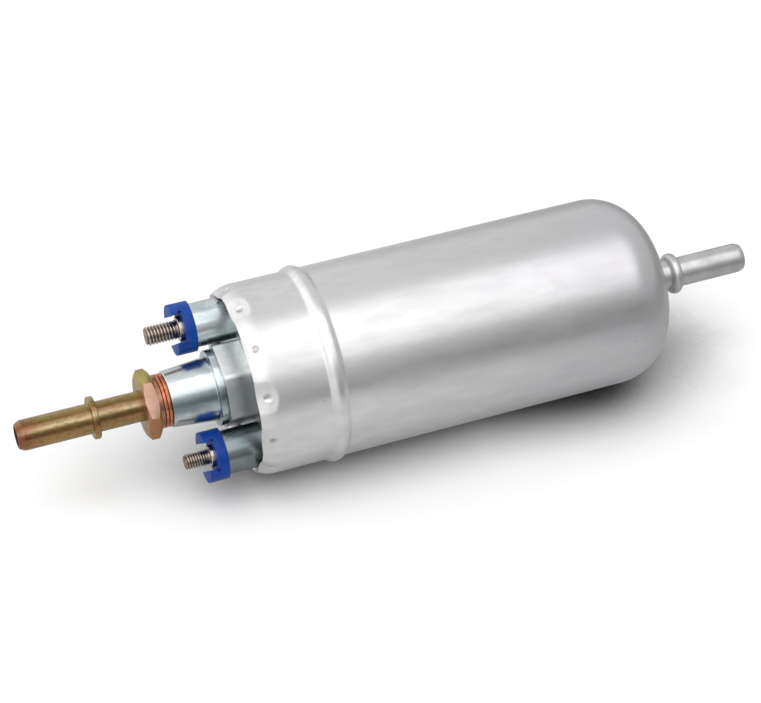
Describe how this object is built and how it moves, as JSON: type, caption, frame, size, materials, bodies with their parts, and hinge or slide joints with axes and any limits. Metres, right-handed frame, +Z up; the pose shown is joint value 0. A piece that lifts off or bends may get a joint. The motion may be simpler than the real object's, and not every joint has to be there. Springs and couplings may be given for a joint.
{
  "type": "diesel fuel pump",
  "caption": "In-line electric diesel fuel pump: domed aluminium can, plated end cover, quick-connect inlet and outlet spigots, insulated stud terminals, gear pump and motor inside.",
  "frame": {"origin": "on the pump's axis, in the middle of the plain barrel that a band clamp holds", "axes": "+X along the axis towards the inlet in the domed end, -X towards the outlet and the terminals; +Z up as the pump lies on its side, with the plane of the two terminals leaning 43.9 degrees from +Z towards +Y"},
  "size_m": [0.242, 0.0624, 0.0624],
  "materials": {
    "can": "satin, drawn",
    "spigot_metal": "satin",
    "seal_rubber": "matt",
    "strainer_plastic": "moulded",
    "steel": "ground",
    "cast_aluminium": "die cast",
    "sintered_steel": "sintered",
    "spring_steel": "drawn",
    "lamination": "stacked",
    "copper_wire": "enamelled copper",
    "copper": "bright copper",
    "moulding": "moulded",
    "bronze": "sintered",
    "ferrite": "ceramic",
    "carbon": "pressed carbon",
    "zinc_plate": "bright zinc plate",
    "cover_zinc": "matt zinc plate",
    "blue_plastic": "moulded",
    "stud_steel": "nickel plate",
    "yellow_chromate": "zinc plate, yellow chromate"
  },
  "bodies": {
    "pump_body": {"housing_can": "can", "inlet_spigot": "spigot_metal", "inlet_seal": "seal_rubber", "inlet_strainer": "strainer_plastic", "support_ring": "steel", "suction_cover": "cast_aluminium", "gear_housing": "sintered_steel", "pressure_plate": "cast_aluminium", "pump_screws": "steel", "relief_spring": "spring_steel", "relief_plug": "steel", "front_bush": "bronze", "rear_bush": "bronze", "flux_tube": "steel", "north_magnet": "ferrite", "south_magnet": "ferrite", "magnet_clips": "spring_steel", "brush_holder": "moulding", "positive_brush_spring": "spring_steel", "negative_brush_spring": "spring_steel", "brush_caps": "steel", "suppression_chokes": "copper_wire", "end_cover": "cover_zinc", "outlet_tower": "zinc_plate", "terminal_towers": "zinc_plate", "cover_seal": "seal_rubber", "positive_insulator": "blue_plastic", "negative_insulator": "blue_plastic", "positive_stud": "stud_steel", "negative_stud": "stud_steel", "terminal_seals": "seal_rubber", "check_seat": "bronze", "check_spring": "spring_steel", "check_guide": "bronze", "sealing_washers": "copper", "outlet_fitting": "yellow_chromate"},
    "armature": {"armature_shaft": "steel", "armature_core": "lamination", "armature_winding": "copper_wire", "commutator_bars": "copper", "commutator_hub": "moulding", "thrust_washers": "strainer_plastic", "shaft_spacer": "moulding", "inner_rotor": "sintered_steel"},
    "outer_gear": {"outer_rotor": "sintered_steel"},
    "check_valve": {"check_plunger": "bronze"},
    "relief_valve": {"relief_ball": "steel"},
    "upper_brush": {"positive_brush": "carbon"},
    "lower_brush": {"negative_brush": "carbon"}
  },
  "joints": [
    {"name": "armature_spin", "type": "hinge", "parent": "pump_body", "child": "armature", "pos_m": [0, 0, 0], "axis": [1, 0, 0], "continuous": true},
    {"name": "outer_gear_spin", "type": "hinge", "parent": "pump_body", "child": "outer_gear", "pos_m": [0, 0, 0.0018], "axis": [1, 0, 0], "continuous": true},
    {"name": "check_valve_lift", "type": "slide", "parent": "pump_body", "child": "check_valve", "axis": [-1, 0, 0], "range_m": [0, 0.002], "stiffness_N_per_m": 200, "springref_m": -0.006, "deforming": ["check_spring"]},
    {"name": "relief_valve_lift", "type": "slide", "parent": "pump_body", "child": "relief_valve", "axis": [1, 0, 0], "range_m": [0, 0.0012], "stiffness_N_per_m": 100, "springref_m": -0.01, "deforming": ["relief_spring"]},
    {"name": "upper_brush_slide", "type": "slide", "parent": "pump_body", "child": "upper_brush", "axis": [0, 0.6934, 0.7206], "range_m": [0, 0.002], "stiffness_N_per_m": 100, "springref_m": -0.006, "deforming": ["positive_brush_spring"]},
    {"name": "lower_brush_slide", "type": "slide", "parent": "pump_body", "child": "lower_brush", "axis": [0, -0.6934, -0.7206], "range_m": [0, 0.002], "stiffness_N_per_m": 100, "springref_m": -0.006, "deforming": ["negative_brush_spring"]}
  ],
  "couplings": [
    {"joint": "outer_gear_spin", "follows": "armature_spin", "ratio": 0.85714}
  ]
}
